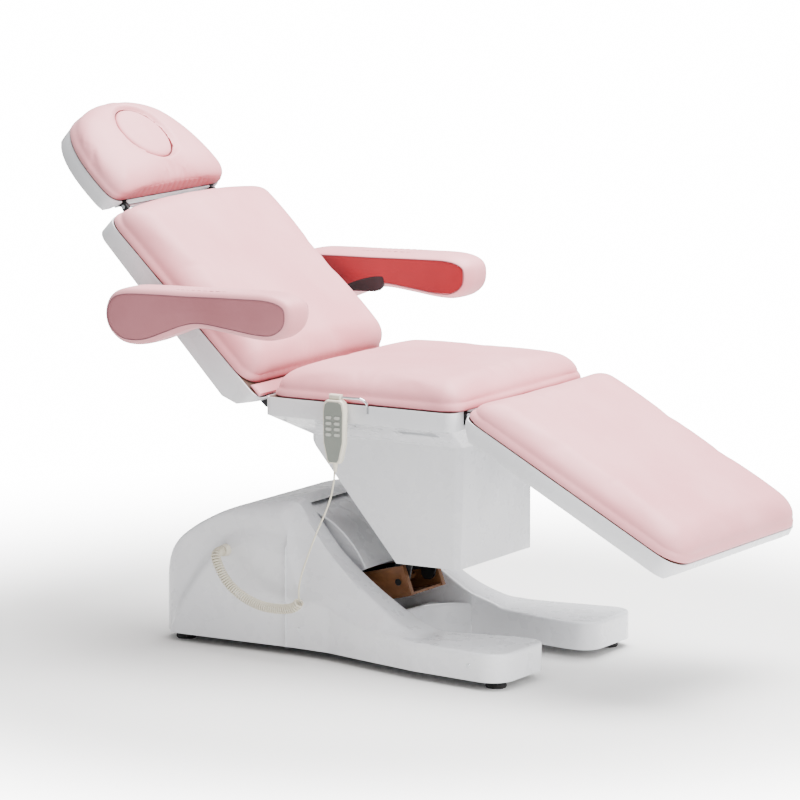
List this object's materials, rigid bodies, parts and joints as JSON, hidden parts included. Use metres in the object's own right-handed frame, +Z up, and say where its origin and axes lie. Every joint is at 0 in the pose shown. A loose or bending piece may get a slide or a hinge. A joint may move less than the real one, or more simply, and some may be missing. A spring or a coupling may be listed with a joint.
{
  "type": "facial treatment bed",
  "caption": "Electric facial treatment bed with a sectioned cushioned top, armrests, removable face plug, parallel lift in a moulded forked base and a corded handset.",
  "frame": {"origin": "middle of the footprint box at floor level, the cord left out", "axes": "+Z up, +X towards the foot end, -Y the handset side"},
  "size_m": [1.768, 0.91, 1.2479],
  "materials": {
    "white_shell": "gloss white moulded shell",
    "black_steel": "satin black powder coat",
    "primed_steel": "rust-brown primer",
    "rubber": "black rubber",
    "chrome": "bright chrome",
    "black_plastic": "matte black",
    "plywood": "raw plywood",
    "pink_leather": "soft pale pink synthetic leather, satin",
    "beige_plastic": "ivory satin",
    "keypad_grey": "grey-green membrane",
    "button_grey": "pale grey"
  },
  "bodies": {
    "base": {"base_cover": "white_shell", "base_frame": "black_steel", "foot_front_near": "rubber", "foot_front_far": "rubber", "foot_rear_near": "rubber", "foot_rear_far": "rubber", "lift_pivot_pin": "chrome", "link_pivot_pin": "chrome", "control_box": "black_plastic", "power_inlet": "black_plastic", "cord_socket": "beige_plastic", "cord_curl": "beige_plastic"},
    "lift_arm": {"lift_arm": "primed_steel", "lift_cover": "white_shell"},
    "level_link": {"level_link": "black_steel"},
    "lift_actuator_body": {"lift_actuator_body": "black_plastic"},
    "lift_actuator_rod": {"lift_actuator_rod": "chrome"},
    "seat": {"seat_housing": "white_shell", "seat_frame": "black_steel", "seat_board": "plywood", "seat_cushion": "pink_leather", "back_hinge_rod": "chrome", "leg_hinge_rod": "chrome", "handset_hook": "chrome", "handset_hanger": "beige_plastic", "handset_body": "beige_plastic", "handset_keypad": "keypad_grey", "cord_boot": "beige_plastic", "cord_lead": "beige_plastic"},
    "back_actuator_body": {"back_actuator_body": "black_plastic"},
    "back_actuator_rod": {"back_actuator_rod": "chrome"},
    "leg_actuator_body": {"leg_actuator_body": "black_plastic"},
    "leg_actuator_rod": {"leg_actuator_rod": "chrome"},
    "backrest": {"back_shell": "white_shell", "back_board": "plywood", "back_cushion": "pink_leather", "back_frame": "black_steel", "hinge_cover": "pink_leather", "head_hinge_rod": "chrome"},
    "headrest": {"head_shell": "white_shell", "head_board": "plywood", "head_cushion": "pink_leather", "head_frame": "black_steel"},
    "face_plug": {"face_hole_plug": "pink_leather"},
    "armrest_near": {"armrest_near_pad": "pink_leather", "armrest_near_bracket": "black_steel"},
    "armrest_far": {"armrest_far_pad": "pink_leather", "armrest_far_bracket": "black_steel"},
    "leg_rest": {"leg_shell": "white_shell", "leg_board": "plywood", "leg_cushion": "pink_leather", "leg_frame": "black_steel"},
    "button_1": {"handset_button_1": "button_grey"},
    "button_2": {"handset_button_2": "button_grey"},
    "button_3": {"handset_button_3": "button_grey"},
    "button_4": {"handset_button_4": "button_grey"},
    "button_5": {"handset_button_5": "button_grey"},
    "button_6": {"handset_button_6": "button_grey"},
    "button_7": {"handset_button_7": "button_grey"},
    "button_8": {"handset_button_8": "button_grey"}
  },
  "joints": [
    {"name": "lift", "type": "hinge", "parent": "base", "child": "lift_arm", "pos_m": [-0.25827, 0, 0.104], "axis": [0, -1, 0], "range_deg": [-8, 32], "deforming": ["cord_lead", "cord_curl"]},
    {"name": "link_swing", "type": "hinge", "parent": "base", "child": "level_link", "pos_m": [-0.26407, 0, 0.1273], "axis": [0, -1, 0], "range_deg": [-8, 32]},
    {"name": "seat_levelling", "type": "hinge", "parent": "lift_arm", "child": "seat", "pos_m": [0.01329, 0, 0.17221], "axis": [0, -1, 0], "range_deg": [-32, 8]},
    {"name": "lift_actuator_tilt", "type": "hinge", "parent": "base", "child": "lift_actuator_body", "pos_m": [-0.47327, 0, 0.095], "axis": [0, -1, 0], "range_deg": [-0.73, 2.77]},
    {"name": "lift_actuator_stroke", "type": "slide", "parent": "lift_actuator_body", "child": "lift_actuator_rod", "axis": [0.9669, 0, -0.2551], "range_m": [-0.00888, 0.03401]},
    {"name": "backrest", "type": "hinge", "parent": "seat", "child": "backrest", "pos_m": [-0.21327, 0, 0.614], "axis": [0, 1, 0], "range_deg": [-43.5, 18]},
    {"name": "back_actuator_tilt", "type": "hinge", "parent": "seat", "child": "back_actuator_body", "pos_m": [0.03173, -0.05, 0.5], "axis": [0, -1, 0], "range_deg": [-0.68, 1.57]},
    {"name": "back_actuator_stroke", "type": "slide", "parent": "back_actuator_body", "child": "back_actuator_rod", "axis": [-0.9741, 0, 0.2261], "range_m": [-0.04378, 0.01841]},
    {"name": "headrest", "type": "hinge", "parent": "backrest", "child": "headrest", "pos_m": [-0.66524, 0, 1.01809], "axis": [0, 1, 0], "range_deg": [-35, 15]},
    {"name": "face_plug_lift", "type": "slide", "parent": "headrest", "child": "face_plug", "axis": [0.6561, 0, 0.7547], "range_m": [0, 0.09]},
    {"name": "armrest_near", "type": "hinge", "parent": "backrest", "child": "armrest_near", "pos_m": [-0.45791, 0, 0.79929], "axis": [0, 1, 0], "range_deg": [-18, 43.5]},
    {"name": "armrest_far", "type": "hinge", "parent": "backrest", "child": "armrest_far", "pos_m": [-0.45791, 0, 0.79929], "axis": [0, 1, 0], "range_deg": [-18, 43.5]},
    {"name": "leg_rest", "type": "hinge", "parent": "seat", "child": "leg_rest", "pos_m": [0.30673, 0, 0.614], "axis": [0, -1, 0], "range_deg": [-31.8, 28.2]},
    {"name": "leg_actuator_tilt", "type": "hinge", "parent": "seat", "child": "leg_actuator_body", "pos_m": [0.03173, 0.05, 0.532], "axis": [0, -1, 0], "range_deg": [-1.8, 1.6]},
    {"name": "leg_actuator_stroke", "type": "slide", "parent": "leg_actuator_body", "child": "leg_actuator_rod", "axis": [0.9952, 0, 0.0978], "range_m": [-0.02947, 0.02619]},
    {"name": "button_1_press", "type": "slide", "parent": "seat", "child": "button_1", "axis": [-0.1045, 0.9945, 0], "range_m": [0, 0.001], "stiffness_N_per_m": 400},
    {"name": "button_2_press", "type": "slide", "parent": "seat", "child": "button_2", "axis": [-0.1045, 0.9945, 0], "range_m": [0, 0.001], "stiffness_N_per_m": 400},
    {"name": "button_3_press", "type": "slide", "parent": "seat", "child": "button_3", "axis": [-0.1045, 0.9945, 0], "range_m": [0, 0.001], "stiffness_N_per_m": 400},
    {"name": "button_4_press", "type": "slide", "parent": "seat", "child": "button_4", "axis": [-0.1045, 0.9945, 0], "range_m": [0, 0.001], "stiffness_N_per_m": 400},
    {"name": "button_5_press", "type": "slide", "parent": "seat", "child": "button_5", "axis": [-0.1045, 0.9945, 0], "range_m": [0, 0.001], "stiffness_N_per_m": 400},
    {"name": "button_6_press", "type": "slide", "parent": "seat", "child": "button_6", "axis": [-0.1045, 0.9945, 0], "range_m": [0, 0.001], "stiffness_N_per_m": 400},
    {"name": "button_7_press", "type": "slide", "parent": "seat", "child": "button_7", "axis": [-0.1045, 0.9945, 0], "range_m": [0, 0.001], "stiffness_N_per_m": 400},
    {"name": "button_8_press", "type": "slide", "parent": "seat", "child": "button_8", "axis": [-0.1045, 0.9945, 0], "range_m": [0, 0.001], "stiffness_N_per_m": 400}
  ],
  "couplings": [
    {"joint": "link_swing", "follows": "lift", "ratio": 1},
    {"joint": "seat_levelling", "follows": "lift", "ratio": -1},
    {"joint": "lift_actuator_tilt", "follows": "lift", "ratio": 0.085},
    {"joint": "lift_actuator_stroke", "follows": "lift", "m_per_rad": 0.06},
    {"joint": "back_actuator_tilt", "follows": "backrest", "ratio": -0.035},
    {"joint": "back_actuator_stroke", "follows": "backrest", "m_per_rad": 0.057},
    {"joint": "armrest_near", "follows": "backrest", "ratio": -1},
    {"joint": "armrest_far", "follows": "backrest", "ratio": -1},
    {"joint": "leg_actuator_tilt", "follows": "leg_rest", "ratio": 0.055},
    {"joint": "leg_actuator_stroke", "follows": "leg_rest", "m_per_rad": 0.0522}
  ]
}
